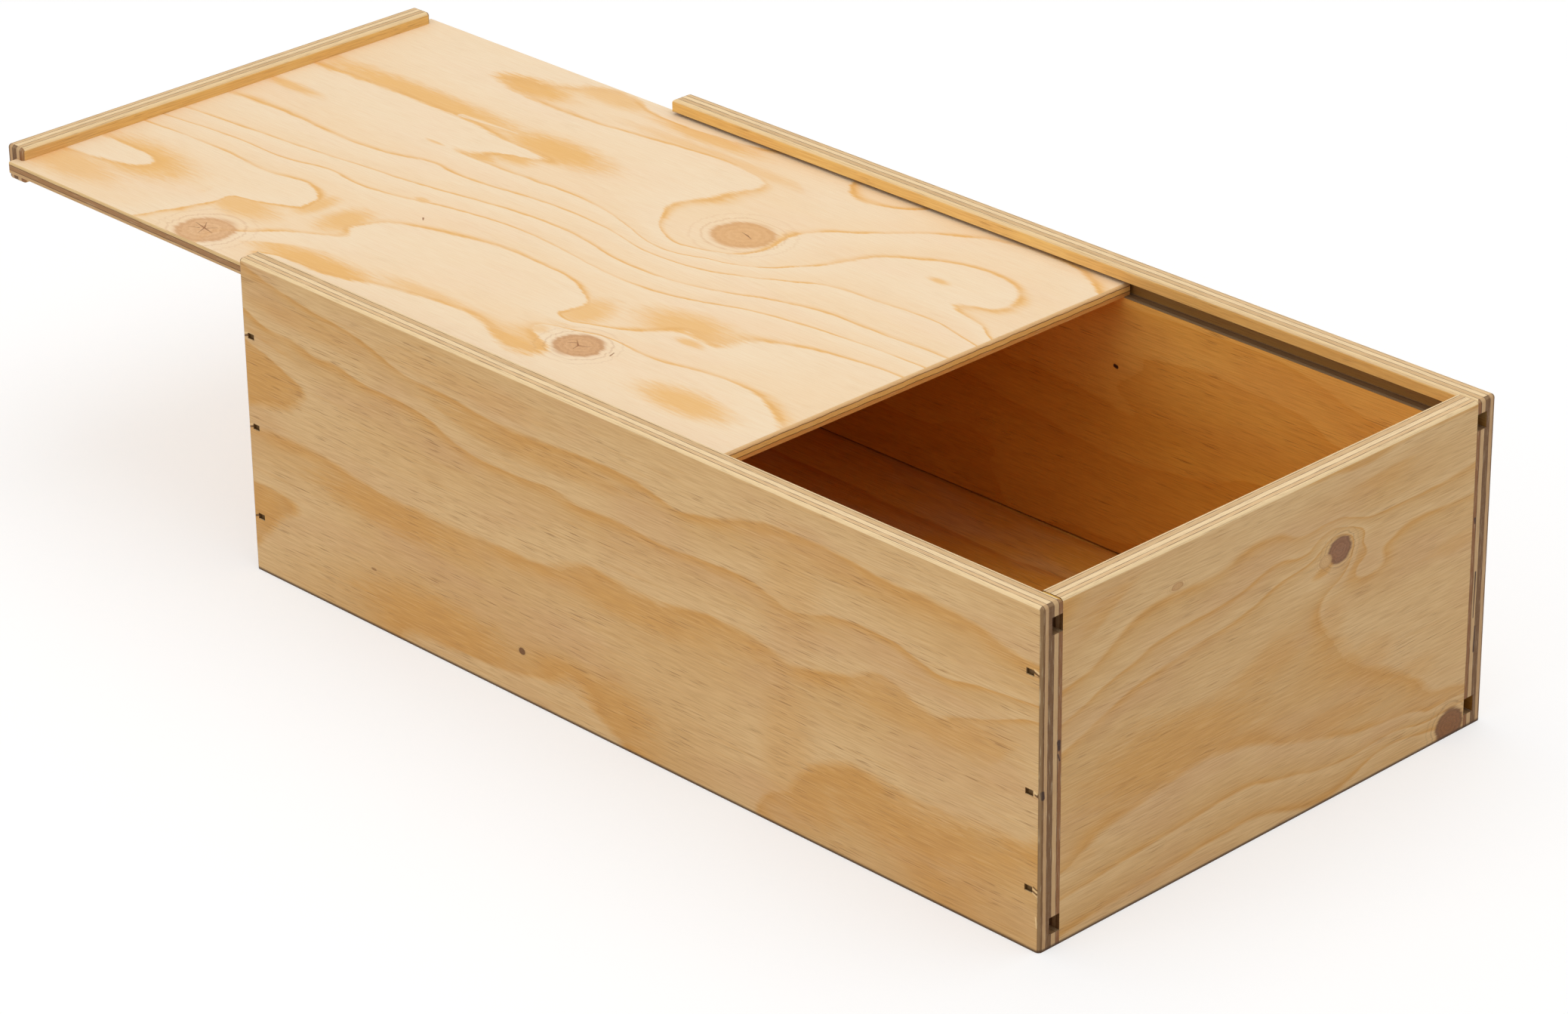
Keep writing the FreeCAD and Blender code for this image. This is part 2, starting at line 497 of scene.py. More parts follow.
def inner_veneer(graph, at, wood, look):
    """The veneer's inner face: its deeper colour with painted shade lower down, and the marks on it."""
    # Painted shade: darker towards the bottom of the inner walls
    tint = graph.mix(graph.rise(at.height, *low_heights), high_tint_and_shade, low_tint_and_shade)
    tint = graph.mix(graph.rise(at.height, *lip_heights), tint, lip_tint_and_shade)
    wood = graph.mix(1.0, wood, tint, "MULTIPLY")
    for tone, rows in look.get("inner_marks", ()):
        wood = graph.mix(strokes(graph, at.u, at.v, rows, inner_mark_softness), wood, tone)
    return wood


def outer_veneer(graph, at, wood, streak, look):
    """The veneer's outer face: its knots, and the marks on it."""
    for spec in look.get("knots", ()):
        wood = knot(graph, wood, at, spec, streak)
    for tone, rows in look.get("marks", ()):
        wood = graph.mix(strokes(graph, at.u, at.v, rows, mark_softness), wood, tone)
    return wood


def veneer(graph, at, inside, look):
    """Colour and height of a face veneer: pale wood, amber late wood and a thin line in each ring."""
    seed = look["seed"]
    jag = graph.swing(graph.noise(at.u, at.v, "jag", seed))
    ragged = graph.math("MULTIPLY", jag, patch_rag)
    level = veneer_level(graph, at, inside, look)
    share = graph.math("FRACT", graph.math("MULTIPLY_ADD", jag, look["jag"], level))
    glow, line = late_wood(graph, at, share, inside, ragged, look)
    broad = graph.noise(at.u, at.v, "broad", seed)
    fine = graph.noise(at.u, at.v, "fine", seed)
    streak = graph.noise(at.u, at.v, "streak", seed)
    dash = pores(graph, at, ragged, look)
    wood = graph.mix(graph.rise(share, *early_span), look["pale"], look["warm"])
    wood = graph.mix(graph.rise(broad, *blush_span, 0.0, look["blush"]), wood, look["pink"])
    wood = graph.mix(graph.rise(streak, *streak_span, 0.0, look["streak"]), wood, look["amber"])
    wood = graph.mix(graph.math("MULTIPLY", glow, look["glow"]), wood, look["amber"])
    wood = graph.mix(graph.math("MULTIPLY", line, look["line"]), wood, look["dark"])
    wood = graph.mix(graph.rise(fine, *fine_dark_span, 0.0, look["fine"]), wood, look["dark"])
    wood = graph.mix(graph.rise(fine, *fine_light_span, 0.0, look["fine"]), wood, look["light"])
    wood = graph.mix(graph.math("MULTIPLY", dash, look["dash"]), wood, look["pore"])
    height = graph.math("SUBTRACT", fine, graph.math("MULTIPLY", dash, pore_depth))
    shown = outer_veneer(graph, at, wood, streak, look)
    hidden = inner_veneer(graph, at, wood, look)
    return graph.mix(graph.math("MULTIPLY", inside, look["inner_tint_and_shade"]), shown, hidden), height


def ply_bands(graph, depth, thickness, joints, tones):
    """Colour across the plies."""
    limits = (0.0,) + joints + (thickness,)
    stops = []
    for start, end, tone in zip(limits, limits[1:], tones):
        stops.append((start / thickness, tone))
        stops.append((end / thickness, tone))
    return graph.bands(graph.math("DIVIDE", depth, thickness), stops)


def glue_lines(graph, depth, joints):
    """1 on each glue line, 0 between them."""
    total = 0.0
    for joint in joints:
        off = graph.math("ABSOLUTE", graph.math("SUBTRACT", depth, joint))
        total = graph.math("MAXIMUM", total, graph.rise(off, *glue_line_span))
    return total


def plies(graph, at, thickness, joints, tones, look):
    """Colour of the edges and ends: plies, their fibres, glue lines, checks, painted shade of open
    voids, and painted shade on the ends inside the joints.
    """
    seed = look["seed"]
    wander = graph.swing(graph.noise(at.u, at.v, "wander", seed))
    layer = graph.math("MULTIPLY_ADD", wander, look["wander"], at.depth)
    on_end = graph.rise(at.to_end, *end_span)
    on_edge = graph.math("SUBTRACT", 1.0, on_end)
    ends = ply_bands(graph, layer, thickness, joints, tones[0])
    edges = ply_bands(graph, layer, thickness, joints, tones[1])
    sides = graph.mix(on_end, edges, ends)
    run = graph.math("ADD", at.u, at.v)
    fibre = graph.noise(run, at.depth, "fibre", seed)
    sides = graph.mix(graph.rise(fibre, *fibre_dark_span), sides, fibre_dark_tone)
    sides = graph.mix(graph.rise(fibre, *fibre_light_span), sides, fibre_light_tone)
    broken = graph.rise(graph.noise(run, at.depth, "glue", seed), *glue_span, look["glue_low"], 1.0)
    glue = graph.math("MULTIPLY", glue_lines(graph, layer, joints), broken)
    sides = graph.mix(graph.math("MULTIPLY", glue, glue_strength), sides, glue_tone)
    # Painted shade where voids lie open on the ends
    hole = strokes(graph, at.v, at.depth, look.get("voids", ()), void_softness)
    sides = graph.mix(graph.math("MULTIPLY", hole, on_end), sides, void_shade_tone)
    check = graph.rise(graph.noise(run, at.depth, "check", seed), *check_span)
    sides = graph.mix(graph.math("MULTIPLY", check, on_edge), sides, check_tone)
    # Painted shade on the ends inside the joints
    return graph.mix(graph.math("MULTIPLY", on_end, look["painted_end_shade"]), sides, groove_shade_tone)


def paint_pit_shade(graph, at, colour, places):
    """Paints shade on the walls of the nail pits."""
    deep = graph.rise(at.depth, *pit_top_span)
    deep = graph.math("MULTIPLY", deep, graph.rise(at.depth, *pit_floor_span))
    for centre_u, centre_v in places:
        off_u = graph.math("ABSOLUTE", graph.off(at.u, centre_u, pit_reach[0]))
        off_v = graph.math("ABSOLUTE", graph.off(at.v, centre_v, pit_reach[1]))
        pit = graph.rise(graph.math("MAXIMUM", off_u, off_v), *pit_edge_span)
        colour = graph.mix(graph.math("MULTIPLY", pit, deep), colour, pit_shade_tone)
    return colour


def paint_groove_shade(graph, at, colour, grooves):
    """Paints shade on the floors and walls of the grooves, each given by its two heights."""
    deep = graph.math("GREATER_THAN", at.depth, groove_start)
    for low, high in grooves:
        cut = graph.math("COMPARE", at.height, (low + high) / 2, (high - low) / 2)
        cut = graph.math("MULTIPLY", cut, deep)
        colour = graph.mix(graph.math("MULTIPLY", cut, groove_shade_strength), colour, groove_shade_tone)
    return colour


def plywood(name, along, across, face, thickness, joints, tones, look):
    """Veneers on the faces, plies on the edges and ends. A face is its axis, place and way inwards."""
    graph = Finish(name)
    at = PanelPoint(graph, along, across, face)
    inside = graph.math("GREATER_THAN", at.depth, thickness * inside_share)
    wood, height = veneer(graph, at, inside, look)
    sides = plies(graph, at, thickness, joints, tones, look)
    colour = graph.mix(graph.rise(at.to_face, *skin_span), sides, wood)
    # Painted highlight on the rounded edges, where no face is square
    flatness = graph.math("MAXIMUM", graph.math("MAXIMUM", at.to_end, at.to_face), at.to_edge)
    colour = graph.mix(graph.rise(flatness, *edge_highlight_span), colour, look["edge_highlight"])
    # Painted shade in the nail pits
    colour = paint_pit_shade(graph, at, colour, look.get("pits", ()))
    # Painted shade in the grooves
    colour = paint_groove_shade(graph, at, colour, look.get("grooves", ()))
    # Painted contact shade along the bottom edges, where the box meets the floor
    colour = graph.mix(graph.rise(at.height, *contact_shade_span), colour, contact_shade_tone)
    graph.cover(colour, graph.rise(height, *wood_rough_span), height, *wood_bump)
    graph.shader.inputs["Specular IOR Level"].default_value = wood_gloss
    return graph.material


# Growth rings of the veneers in the photograph, in millimetres: each level's courses of the late wood
lid_rings = {
    -0.3: [(-5, 106)],
    0: [(-25, 108), (-20, 101), (-12, 96), (-2, 97), (8, 101), (14, 107)],
    0.35: [(-20, 82)],
    0.5: [(-135, 91), (-50, 97)],
    0.65: [(-88, 94)],
    0.8: [(-166, 91)],
    0.96: [(-182, 89), (-174, 97)],
    1: [(-206, 86), (-196, 80.5), (-178, 78.5), (-152, 78), (-128, 80.5), (-104, 84), (-80, 87),
        (-62, 86), (-49, 82), (-48, 72), (-53, 56), (-59, 41), (-53, 31), (-42, 21), (-26, 18),
        (-8, 25), (-2, 40), (-4, 54), (2, 64), (15, 75), (32, 91), (50, 102), (75, 107), (98, 105),
        (117, 94),
        (-200, 91), (-184, 95.5), (-172, 103), (-158, 108), (-146, 106), (-135, 102), (-112, 101),
        (-90, 103), (-70, 108)],
    1.2: [(-240, 88), (-110, 107), (-85, 72)],
    1.3: [(60, 92)],
    1.7: [(-104, 46), (-140, 54), (-200, 56), (-100, 32)],
    1.85: [(-122, 34), (-138, 27)],
    2: [(-276, 43), (-250, 44.5), (-215, 45.5), (-190, 45.5), (-178, 45), (-166, 43), (-152, 41.5),
        (-138, 41), (-127, 39), (-132, 35.5), (-141, 32.5), (-149, 28), (-152, 23.5), (-157, 20.5),
        (-143, 20), (-120, 21), (-97, 22), (-75, 20.5), (-52, 14.5), (-32, 10), (-12, 15), (5, 21),
        (18, 33), (27, 48), (33, 61), (50, 73), (70, 80), (88, 78), (99, 69), (99, 56), (92, 46),
        (105, 43), (117, 36)],
    2.15: [(-145, 37), (-168, 32)],
    2.2: [(-230, 28), (60, 55)],
    3: [(-276, -2), (-240, 0), (-205, -2), (-175, 1), (-154, 6), (-145, 4.5), (-115, 7), (-85, 10),
        (-50, 7), (-25, 4), (0, 8.5), (20, 18.5), (38, 28.5), (65, 32), (95, 33), (117, 28)],
    4: [(-276, -25), (-235, -21.5), (-190, -17.5), (-130, -10), (-100, -5), (-70, -3.5), (-40, -8),
        (-8, -8.5), (18, -1), (45, 9), (85, 12), (117, 13)],
    5: [(-276, -36), (-235, -32), (-200, -31.5), (-180, -27), (-168, -28.5), (-148, -27.5),
        (-130, -23), (-112, -18.5), (-75, -15.5), (-40, -19), (-8, -20), (14, -14.5), (35, -7),
        (60, -2), (117, 2)],
    5.7: [(-148, -52), (-150, -68), (-172, -84), (-176, -108), (-5, -40)],
    6: [(-276, -46), (-225, -43.5), (-192, -44.5), (-178, -41.5), (-169, -44), (-161, -51),
        (-161, -60), (-178, -67.5), (-189, -72), (-190, -82), (-197, -100), (-158, -90),
        (-147, -79), (-134, -71), (-127, -66), (-132, -59.5), (-129, -51), (-118, -42),
        (-104, -37.5), (-88, -33.5), (-60, -31), (-30, -34.5), (-14, -43), (-14, -55), (-5, -59),
        (8, -54), (22, -44), (30, -36), (46, -38), (52, -27), (68, -18), (90, -12), (117, -10)],
    6.35: [(-210, -52), (-70, -58), (80, -35)],
    6.7: [(-205, -75), (-215, -100)],
    6.85: [(-225, -74), (-240, -93), (-264, -97)],
    7: [(-276, -66), (-262, -66), (-248, -66.5), (-237, -69.5), (-238, -76.5), (-248, -81),
        (-262, -84), (-276, -85),
        (-138, -99), (-112, -95), (-88, -89), (-62, -82.5), (-38, -80.5), (-22, -84), (-6, -90),
        (3, -87), (0, -79), (-11, -73), (-7, -66.5), (10, -61), (30, -61), (60, -57), (80, -55),
        (100, -60), (117, -71)],
    7.15: [(-90, -100), (-30, -92), (-250, -74)],
    7.3: [(30, -74), (75, -64), (60, -105)],
}
near_rings = {
    -0.3: [(184, 8)],
    -0.2: [(276, 16)],
    -0.06: [(-122, 30)],
    -0.05: [(205, 22), (262, 26), (240, 6), (170, 14)],
    0: [(150, -2), (157, 11), (170, 21), (186, 32), (198, 36.5), (212, 31), (228, 28), (246, 31),
        (262, 37.5), (286, 38),
        (-128, 37), (-105, 36), (-112, 28), (-120, 18)],
    0.35: [(-70, 35), (60, 42), (130, 25), (200, 50)],
    0.85: [(-40, 47), (10, 49), (90, 53), (-60, 8), (100, 6)],
    0.9: [(-118, 84), (-20, 17), (30, 19), (52, 25)],
    1: [(-128, 61), (-80, 61), (-68, 59), (-30, 57.5), (10, 58), (48, 60.5), (54, 64), (70, 67),
        (105, 66), (120, 69.5), (148, 70), (168, 66), (188, 70), (200, 73), (212, 78), (226, 74),
        (240, 72), (252, 77), (268, 82), (286, 88),
        (-128, 97), (-110, 92), (-96, 87), (-104, 77), (-128, 71),
        (-42, 1), (-36, 8), (-20, 8), (18, 10), (38, 13), (46, 18), (60, 19), (70, 9), (82, 1)],
    1.2: [(40, 4)],
    1.4: [(-60, 78), (60, 78), (160, 78)],
    1.93: [(-112, 104), (60, 88), (240, 87)],
    2: [(-128, 110), (-100, 105), (-86, 102), (-74, 103), (-55, 100), (-28, 99), (-8, 93),
        (15, 90.5), (45, 92), (80, 91), (105, 89.5), (145, 92), (168, 87), (188, 92), (215, 93),
        (232, 89.5), (260, 91.5), (286, 94)],
    2.4: [(-60, 108), (100, 98)],
    2.9: [(30, 103), (110, 104), (220, 110)],
    3: [(-128, 129), (-104, 123), (-75, 120), (-50, 116), (-35, 112), (-5, 110), (30, 107.5),
        (55, 110), (78, 110.5), (100, 108), (125, 108), (140, 112), (158, 116), (200, 115.5),
        (235, 115), (260, 112), (286, 108)],
    3.4: [(0, 124), (200, 128)],
}
front_rings = {
    0.6: [(-70, 75), (100, -10)],
    0.8: [(8, 56), (-92, 58)],
    1: [(-107, 72), (-80, 81), (-50, 87), (-20, 90.5), (2, 96), (20, 99.5), (29, 104), (37, 103),
        (41, 97), (37, 89), (27, 83), (23, 77), (28, 67), (36, 57), (46, 48), (62, 39), (78, 30),
        (90, 21), (107, 18),
        (-107, 27), (-92, 34), (-70, 39), (-35, 43), (-10, 40), (10, 32), (35, 25), (65, 20),
        (85, 15.5), (107, 15)],
    1.2: [(50, 66), (75, 45)],
    1.3: [(85, 68)],
    2: [(-107, 83), (-88, 89), (-70, 94), (-45, 98), (-15, 100.5), (3, 104), (18, 103), (30, 107),
        (41, 104), (46, 97), (43, 88), (50, 82), (58, 90), (68, 94.5), (107, 94.5),
        (-107, 17), (-75, 19.5), (-40, 21.5), (-15, 23), (10, 18), (30, 14), (50, 13), (70, 13.5),
        (87, 11), (107, 11)],
    2.35: [(60, 100)],
    2.8: [(20, 6)],
    3: [(-107, 95), (-92, 99), (-76, 107), (-62, 111), (-30, 111), (2, 114), (20, 110), (38, 108.5),
        (52, 105), (75, 104.5), (107, 106),
        (-107, 3), (-75, 6), (-40, 8), (0, 8), (12, 4.5), (45, 5), (60, 9), (85, 7)],
    3.2: [(-50, 117)],
    3.3: [(-40, 128), (95, 122), (45, 122)],
}

# The side panels' look, which the other looks start from
side_look = {
    # Tones
    "pale": srgb(227, 189, 134),
    "warm": srgb(218, 175, 115),
    "pink": srgb(214, 168, 118),
    "amber": srgb(214, 156, 76),
    "dark": srgb(168, 118, 68),
    "light": srgb(232, 198, 148),
    "pore": srgb(146, 100, 56),
    # Painted highlight on the rounded edges
    "edge_highlight": srgb(240, 208, 158),
    # Rings: how jagged and wavy they are, the amber's start, strength, soft end and fading, and the line
    "jag": 0.05,
    "sway": 0.5,
    "swing": 1.6,
    "glow_start": 0.72,
    "glow": 0.8,
    "soft": 0.045,
    "fade": 0.45,
    "line": 0.06,
    # Grain: the strength of the pink blush, the amber streaks, the fine grain and the pores
    "blush": 0.5,
    "streak": 0.2,
    "fine": 0.3,
    "dash": 0.6,
    # Plies: how far they wander, the faintest glue line, and how much painted shade darkens the ends
    # inside the joints
    "wander": 0.35,
    "glue_low": 0.35,
    "painted_end_shade": 0.0,
    # How much of the inner side's deeper colour and painted shade it has
    "inner_tint_and_shade": 1.0,
}

# Lid, with dry cracks in its knots
lid_cracks = (
    (-171.2, -98.2, -177.8, -97.0, 0.35, 0.05), (-171.2, -98.2, -174.8, -94.2, 0.3, 0.05),
    (-170.2, -97.6, -167.6, -94.8, 0.2, 0.05), (-171.2, -98.2, -165.0, -99.4, 0.35, 0.05),
    (-171.2, -98.2, -169.2, -102.8, 0.3, 0.05), (-172.8, -99.4, -176.6, -101.6, 0.2, 0.05),
    (12.6, -72.2, 9.0, -69.4, 0.35, 0.05), (12.6, -72.2, 16.6, -70.2, 0.3, 0.05),
    (12.6, -72.2, 13.4, -75.6, 0.25, 0.05), (10.4, -71.0, 7.4, -73.0, 0.2, 0.05),
    (-118.4, -33.4, -116.8, -34.8, 0.35, 0.2), (26.8, -67.6, 27.6, -70.2, 0.2, 0.3),
    (-16.4, 41.2, -20.2, 42.0, 0.3, 0.05), (-16.4, 41.2, -13.0, 39.8, 0.3, 0.05),
)
lid_look = dict(
    side_look,
    seed=25.0,
    rings=lid_rings,
    stretch=(40.0, 16.0),
    pale=srgb(252, 227, 191),
    warm=srgb(251, 221, 180),
    pink=srgb(251, 219, 184),
    amber=srgb(243, 188, 108),
    dark=srgb(222, 160, 84),
    light=srgb(255, 236, 206),
    pore=srgb(224, 182, 130),
    edge_highlight=srgb(246, 216, 172),
    jag=0.08,
    sway=0.4,
    glow_start=0.84,
    glow=0.95,
    soft=0.04,
    fade=0.4,
    line=0.22,
    blush=0.3,
    streak=0.06,
    fine=0.11,
    dash=0.12,
    wander=1.0,
    glue_low=0.75,
    stains=(
        (-190, 87, 26, 10, 1.0), (-160, 102, 30, 8, 0.7), (-100, 99, 36, 6, 0.8), (-80, 88, 60, 5, 0.5),
        (-132, 48, 34, 12, 1.0), (-140, 32, 14, 7, 0.9), (-149, 23, 10, 4, 0.9),
        (-215, 50, 75, 9, 0.95), (-246, -72, 34, 16, 1.0), (-262, -94, 34, 12, 0.7),
        (-112, -91, 44, 10, 1.0), (-60, -80, 30, 5, 0.6), (-10, -86, 24, 6, 0.95),
        (30, -34, 26, 14, 0.85), (-8, -50, 12, 14, 0.8), (-138, -56, 11, 14, 0.85),
        (-178, -74, 22, 10, 0.8), (-158, -54, 7, 12, 0.8),
    ),
    washes=(
        (76, -79, 26, 10, 0.9), (66, 61, 6, 2.2, 0.8), (40, -42.5, 8, 2.8, 0.8), (-262, 20, 20, 4, 0.8),
        (-174, 20.5, 6, 1.2, 0.7), (-9, -72, 5, 4, 0.5), (-132, -22, 5, 2.2, 0.7),
    ),
    tongues=((-188, 46.6, -157, 49.4, 1.3, 0.2),),
    knots=(
        (-18, 40.5, 13, 11, srgb(232, 180, 120), srgb(212, 152, 88), 0.0),
        (-169.5, -99, 11.8, 11.5, srgb(232, 184, 132), srgb(202, 142, 86), 1.0),
        (12.5, -72, 10.0, 8.8, srgb(222, 170, 116), srgb(184, 124, 68), 2.0),
    ),
    marks=((crack_tone, lid_cracks),),
)

# Near side, with torn wood, painted shade in its torn slots, and raised fibres at the nail pits
near_tears_and_shade = (
    (281.9, 105.6, 284.6, 104.6, 0.45, 0.25), (283.2, 60.1, 285.6, 59.9, 0.5, 1.2),
    (281.3, 23.4, 284.6, 22.4, 0.35, 0.3), (282.6, 24.8, 284.8, 23.8, 0.3, 0.25),
    (-124.6, 99.2, -127.2, 98.2, 0.45, 0.25), (-124.4, 61.3, -127.0, 60.4, 0.4, 0.2),
    (-124.6, 23.7, -127.4, 22.6, 0.45, 0.25), (284.4, 12.6, 284.9, 8.4, 0.2, 0.15),
)
near_fibres = (
    (282.2, 106.4, 284.8, 105.5, 0.3, 0.35), (282.6, 60.9, 283.6, 60.6, 0.5, 0.4),
    (282.4, 24.0, 284.9, 23.0, 0.3, 0.3), (-124.2, 100.2, -126.4, 99.6, 0.25, 0.3),
    (-124.4, 62.2, -126.6, 61.5, 0.25, 0.25), (283.6, 13.6, 284.2, 9.6, 0.3, 0.3),
    (281.9, 22.6, 284.2, 21.6, 0.2, 0.25),
)
near_look = dict(
    side_look,
    seed=1.0,
    rings=near_rings,
    stretch=(40.0, 14.0),
    pits=pit_places,
    grooves=(bottom_groove, lid_groove),
    stains=(
        (-20, 13, 52, 15, 0.95), (74, 13, 26, 15, 0.85), (-45, 52, 48, 9, 0.95), (85, 60, 50, 8, 0.8),
        (222, 27, 64, 17, 0.85), (-118, 84, 28, 18, 0.95), (-122, 29, 20, 14, 0.95),
        (30, 104, 60, 6, 0.6), (215, 112, 70, 7, 0.5), (230, 70, 60, 9, 0.6), (174, 20, 22, 15, 0.8),
    ),
    washes=(
        (165, 30, 14, 34, 0.4), (168, 95, 16, 24, 0.3), (-90, 114, 40, 5, 0.4), (0, 118, 60, 6, 0.35),
    ),
    pores=(
        (168, 60, 16, 60, 0.9), (-75, 85, 40, 16, 0.8), (40, 34, 50, 10, 0.8), (-10, 120, 90, 8, 0.8),
        (100, 84, 40, 10, 0.7),
    ),
    knots=(
        (26.5, 20, 1.7, 1.3, srgb(112, 70, 34), srgb(96, 58, 28), 1.0),
        (-56.5, 24.4, 1.4, 0.5, srgb(168, 122, 72), srgb(150, 104, 58), 2.0),
    ),
    marks=((torn_wood_and_shade_tone, near_tears_and_shade), (fibre_tone, near_fibres)),
    voids=(
        (77.4, 8.7, 74.6, 8.9, 0.9, 0.6), (72.8, 8.4, 70.4, 9.2, 0.3, 0.3),
        (59.0, 1.4, 61.0, 1.2, 0.8, 0.8),
    ),
)

# Front end
front_look = dict(
    side_look,
    seed=5.0,
    rings=front_rings,
    stretch=(34.0, 14.0),
    glow=0.75,
    soft=0.09,
    streak=0.1,
    dash=0.4,
    painted_end_shade=0.55,
    grooves=(bottom_groove,),
    stains=(
        (-50, 52, 50, 18, 0.9), (-5, 68, 24, 10, 0.6), (-75, 116, 24, 10, 0.7),
        (-20, 118, 34, 8, 0.6), (56, 121, 20, 8, 0.6), (48, 87, 12, 8, 0.9), (30, 32, 40, 6, 0.6),
    ),
    washes=(
        (98, 78, 18, 4, 0.4), (30, 70, 8, 12, 0.4), (52, 50, 14, 9, 0.45), (-98, 29, 12, 4, 0.4),
        (75, 34, 16, 7, 0.4),
    ),
    pores=((-70, 70, 50, 12, 0.6), (40, 84, 50, 3, 0.7)),
    knots=(
        (33.5, 98, 5.8, 4.9, srgb(148, 98, 68), srgb(92, 56, 32), 1.0),
        (98.5, 4.5, 7.4, 6.6, srgb(140, 88, 48), srgb(92, 54, 26), 2.0),
        (26.0, 96, 3.2, 2.4, srgb(222, 180, 124), srgb(170, 118, 66), 3.0),
        (-50.5, 114.3, 3.0, 1.3, srgb(214, 168, 112), srgb(160, 110, 62), 3.0),
    ),
)

# Far side, with painted shade for a small hole and along the seam at the bottom of its inner face
far_look = dict(
    side_look,
    seed=9.0,
    swing=3.4,
    pits=pit_places,
    grooves=(bottom_groove, lid_groove),
    inner_marks=(
        (void_shade_tone, ((113.4, 89.3, 114.4, 89.1, 0.8, 0.8),)),
        (seam_shade_tone, ((-120.0, 12.0, 280.0, 12.0, 0.2, 0.2),)),
    ),
    voids=(
        (62.0, 6.9, 44.0, 7.1, 0.4, 0.2), (40.0, 5.8, 30.0, 6.0, 0.3, 0.4),
        (84.0, 8.8, 82.0, 8.6, 0.5, 0.3),
    ),
)

# Rear end, the bottom, whose deeper colour also holds painted shade, and the lid's batten
rear_look = dict(side_look, seed=13.0, swing=5.0, grooves=(bottom_groove,), painted_end_shade=0.55)
# The bottom's deeper tones hold painted shade of the inside of the box
bottom_look = dict(
    side_look,
    seed=17.0,
    pale=srgb(236, 172, 68),
    warm=srgb(228, 158, 54),
    amber=srgb(206, 128, 34),
    fine=0.4,
)
batten_look = dict(
    side_look,
    seed=21.0,
    pale=srgb(242, 199, 126),
    warm=srgb(238, 189, 108),
    amber=srgb(228, 167, 76),
    wander=0.5,
    inner_tint_and_shade=0.0,
)

# Nail wire dulled by dust and glue
steel_look = dict(
    scale=900.0,
    detail=3.0,
    rag=0.5,
    tones=(srgb(92, 66, 34), srgb(132, 100, 58)),
    rough=(0.3, 0.7, 0.6, 0.8),
    bump=(0.3, 0.0001),
    metal=0.3,
)

# Yellowed wood glue
glue_look = dict(
    scale=700.0,
    detail=2.0,
    rag=0.5,
    tones=(srgb(222, 164, 44), srgb(246, 206, 96)),
    rough=(0.3, 0.7, 0.25, 0.45),
    bump=(0.3, 0.0002),
    metal=0.0,
)


def mottled(name, look):
    """A plain material, mottled between two tones."""
    graph = Finish(name)
    mottle = graph.lumps(graph.object_place(), look["scale"], look["detail"], look["rag"])
    colour = graph.mix(mottle, *look["tones"])
    graph.cover(colour, graph.rise(mottle, *look["rough"]), mottle, *look["bump"])
    graph.shader.inputs["Metallic"].default_value = look["metal"]
    return graph.material


def dress_nodes():
    """Gives each CAD node its material."""
    side = (panel_thickness, side_joints, side_tones)
    bottom = (bottom_top - bottom_low, lid_joints, lid_tones)
    lid = (lid_top - lid_bottom, lid_joints, lid_tones)
    looks = {
        "near_side_panel": plywood("near_plywood", 0, 2, (1, -outer, 1.0), *side, near_look),
        "far_side_panel": plywood("far_plywood", 0, 2, (1, outer, -1.0), *side, far_look),
        "front_end_panel": plywood("front_plywood", 1, 2, (0, front, -1.0), *side, front_look),
        "rear_end_panel": plywood("rear_plywood", 1, 2, (0, rear, 1.0), *side, rear_look),
        "bottom_panel": plywood("bottom_plywood", 0, 1, (2, bottom_top, -1.0), *bottom, bottom_look),
        "lid_panel": plywood("lid_plywood", 0, 1, (2, lid_top, -1.0), *lid, lid_look),
        "lid_batten": plywood("batten_plywood", 1, 2, (0, batten_outer, 1.0), *side, batten_look),
    }
    nail = mottled("nail_steel", steel_look)
    for name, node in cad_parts.items():
        for slot in node.material_slots:
            slot.link = "OBJECT"
            slot.material = looks.get(name, nail)


def make_camera():
    """The camera, turned by its azimuth, elevation and roll."""
    azimuth = math.radians(camera_azimuth)
    elevation = math.radians(camera_elevation)
    roll = math.radians(camera_roll)
    flat = math.cos(elevation)
    back = Vector((math.sin(azimuth) * flat, -math.cos(azimuth) * flat, math.sin(elevation)))
    level = Vector((math.cos(azimuth), math.sin(azimuth), 0))
    lift = back.cross(level)
    right = level * math.cos(roll) + lift * math.sin(roll)
    up = lift * math.cos(roll) - level * math.sin(roll)
    data = bpy.data.cameras.new("camera")
    data.lens = camera_lens
    data.sensor_width = camera_sensor
    data.sensor_fit = "HORIZONTAL"
    camera = bpy.data.objects.new("camera", data)
    turn = Matrix((right, up, back)).transposed().to_4x4()
    camera.matrix_world = Matrix.Translation(camera_place) @ turn
    scene.collection.objects.link(camera)
    scene.camera = camera


def seen_ray(graph):
    """1 where a ray comes from the camera, a gloss or a clear body, and 0 elsewhere."""
    rays = graph.add("LightPath", {}).node.outputs
    direct = graph.math("MAXIMUM", rays["Is Camera Ray"], rays["Is Glossy Ray"])
    return graph.math("MAXIMUM", direct, rays["Is Transmission Ray"])


def make_world():
    """An even sky that looks white and lights the box at a plain level."""
    world = bpy.data.worlds.new("world")
    world.use_nodes = True
    scene.world = world
    graph = Graph(world.node_tree)
    sky = graph.tree.nodes["Background"]
    sky.inputs["Color"].default_value = (1, 1, 1, 1)
    graph.put(sky.inputs["Strength"], graph.rise(seen_ray(graph), 0.0, 1.0, sky_strength, 1.0))


def soft_lamp(name, place, watts):
    """A square lamp that faces the box."""
    data = bpy.data.lights.new(name, "AREA")
    data.size = lamp_size
    data.energy = watts
    lamp = bpy.data.objects.new(name, data)
    lamp.location = place
    lamp.rotation_euler = Vector(place).to_track_quat("Z", "Y").to_euler()
    scene.collection.objects.link(lamp)


